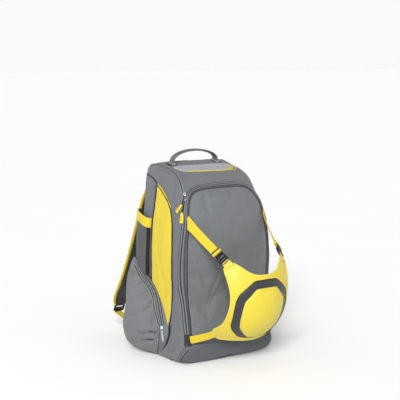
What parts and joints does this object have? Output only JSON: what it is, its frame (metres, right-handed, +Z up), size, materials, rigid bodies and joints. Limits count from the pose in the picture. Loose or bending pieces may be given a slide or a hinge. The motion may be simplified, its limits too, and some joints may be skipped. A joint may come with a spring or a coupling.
{
  "type": "baseball bat backpack",
  "caption": "Upright sports backpack with side sleeves and side pockets, a domed strap-on front carrier flap, arched zipped door and padded shoulder straps.",
  "frame": {"origin": "centre of the whole bag's box, on the floor that it stands on", "axes": "+Z up, -Y towards the front with the door and the carrier flap, +Y towards the wearer's back, +X to the bag's right as the wearer has it on the back"},
  "size_m": [0.4612, 0.629, 0.5757],
  "materials": {
    "grey_cloth": "woven ripstop",
    "door_cloth": "woven ripstop",
    "pale_cloth": "woven",
    "dark_mesh": "mesh",
    "yellow_cloth": "woven",
    "flap_yellow": "coated cloth",
    "pad_yellow": "perforated and padded",
    "flap_grey": "coated band",
    "webbing_yellow": "webbing",
    "piping_yellow": "piping",
    "zip_tape": "ribbed tape",
    "strap_black": "padded mesh",
    "black_cloth": "webbing",
    "handle_grey": "webbing",
    "black_plastic": "moulded",
    "anchor_grey": "moulded",
    "pull_yellow": "moulded",
    "silver": "satin",
    "foot_rubber": "moulded"
  },
  "bodies": {
    "root": {"main_compartment": "grey_cloth", "front_door": "door_cloth", "front_zip": "zip_tape", "top_pocket": "pale_cloth", "top_piping": "piping_yellow", "boot_pocket": "grey_cloth", "side_panel_right": "yellow_cloth", "side_panel_left": "yellow_cloth", "side_sleeve_right": "dark_mesh", "side_sleeve_left": "dark_mesh", "sleeve_band_right": "webbing_yellow", "sleeve_band_left": "webbing_yellow", "side_pocket_right": "grey_cloth", "side_pocket_left": "grey_cloth", "pocket_zip_right": "zip_tape", "pocket_zip_left": "zip_tape", "pocket_slider_right": "silver", "pocket_slider_left": "silver", "pocket_tab_right": "silver", "pocket_tab_left": "silver", "carrier_flap": "flap_yellow", "flap_band": "flap_grey", "flap_pad": "pad_yellow", "upper_strap_right": "webbing_yellow", "upper_strap_left": "webbing_yellow", "strap_loop_right": "webbing_yellow", "strap_loop_left": "webbing_yellow", "buckle_right": "black_plastic", "buckle_left": "black_plastic", "lower_strap_right": "webbing_yellow", "lower_strap_left": "webbing_yellow", "corner_tab_right": "black_cloth", "corner_tab_left": "black_cloth", "grab_handle": "handle_grey", "handle_anchor_right": "anchor_grey", "handle_anchor_left": "anchor_grey", "back_pad": "strap_black", "shoulder_strap_right": "strap_black", "shoulder_strap_left": "strap_black", "ladder_lock_right": "black_plastic", "ladder_lock_left": "black_plastic", "strap_webbing_right": "webbing_yellow", "strap_webbing_left": "webbing_yellow", "zip_slider_upper": "silver", "zip_slider_lower": "silver", "zip_pull_upper": "pull_yellow", "zip_pull_lower": "pull_yellow", "foot_front_left": "foot_rubber", "foot_front_right": "foot_rubber", "foot_back_left": "foot_rubber", "foot_back_right": "foot_rubber"}
  },
  "joints": []
}
